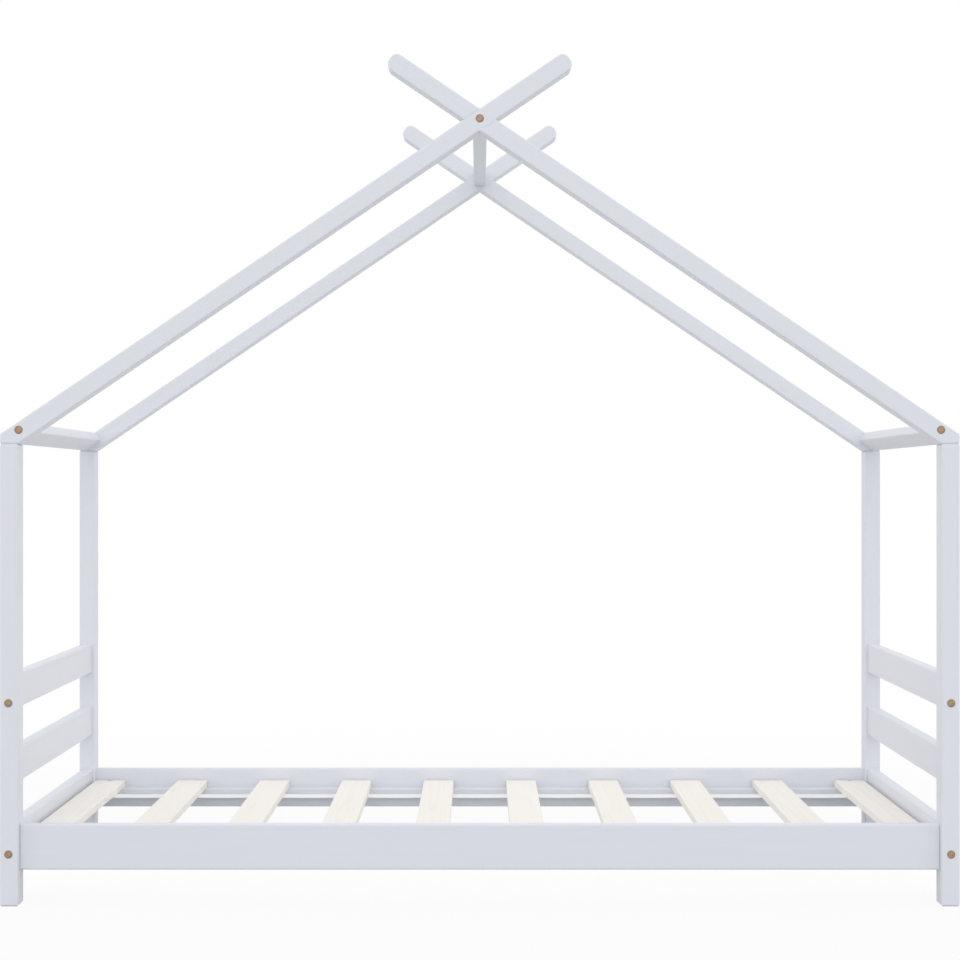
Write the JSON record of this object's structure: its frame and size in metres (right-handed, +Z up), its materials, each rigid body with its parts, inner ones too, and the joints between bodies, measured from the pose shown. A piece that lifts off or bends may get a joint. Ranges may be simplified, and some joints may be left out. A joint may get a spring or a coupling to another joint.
{
  "type": "kids bed frame",
  "caption": "House-shaped bed frame for a child: corner posts, crossed rafters with a ridge beam, rails, end boards and a slatted base for a mattress.",
  "frame": {"origin": "on the floor under the middle of the bed", "axes": "+X along the bed, +Y from the pictured side to the rear side, +Z up"},
  "size_m": [1.681, 0.896, 1.4919],
  "materials": {
    "painted_wood": "satin white paint on pine",
    "slat_wood": "planed pine, unpainted",
    "dowel_wood": "turned beech",
    "bronze_steel": "bronze plated",
    "zinc_steel": "zinc plated",
    "webbing": "woven polyester"
  },
  "bodies": {
    "root": {"eave_bolts": "bronze_steel", "eave_dowels": "dowel_wood", "eave_nuts": "zinc_steel", "end_board_bolts": "bronze_steel", "end_board_dowels": "dowel_wood", "end_board_nuts": "zinc_steel", "end_rail_bolts": "bronze_steel", "end_rail_dowels": "dowel_wood", "end_rail_nuts": "zinc_steel", "front_left_post": "painted_wood", "front_left_rafter": "painted_wood", "front_right_post": "painted_wood", "front_right_rafter": "painted_wood", "front_side_rail": "painted_wood", "front_slat_ledger": "painted_wood", "front_slat_webbing": "webbing", "left_eave_beam": "painted_wood", "left_end_rail": "painted_wood", "left_lower_end_board": "painted_wood", "left_upper_end_board": "painted_wood", "rafter_foot_dowels": "dowel_wood", "rear_left_post": "painted_wood", "rear_left_rafter": "painted_wood", "rear_right_post": "painted_wood", "rear_right_rafter": "painted_wood", "rear_side_rail": "painted_wood", "rear_slat_ledger": "painted_wood", "rear_slat_webbing": "webbing", "ridge_beam": "painted_wood", "ridge_bolts": "bronze_steel", "ridge_dowels": "dowel_wood", "ridge_nuts": "zinc_steel", "right_eave_beam": "painted_wood", "right_end_rail": "painted_wood", "right_lower_end_board": "painted_wood", "right_upper_end_board": "painted_wood", "side_rail_bolts": "bronze_steel", "side_rail_dowels": "dowel_wood", "side_rail_nuts": "zinc_steel", "slat_01": "slat_wood", "slat_02": "slat_wood", "slat_03": "slat_wood", "slat_04": "slat_wood", "slat_05": "slat_wood", "slat_06": "slat_wood", "slat_07": "slat_wood", "slat_08": "slat_wood", "slat_09": "slat_wood", "slat_10": "slat_wood", "slat_screws": "zinc_steel"}
  },
  "joints": []
}
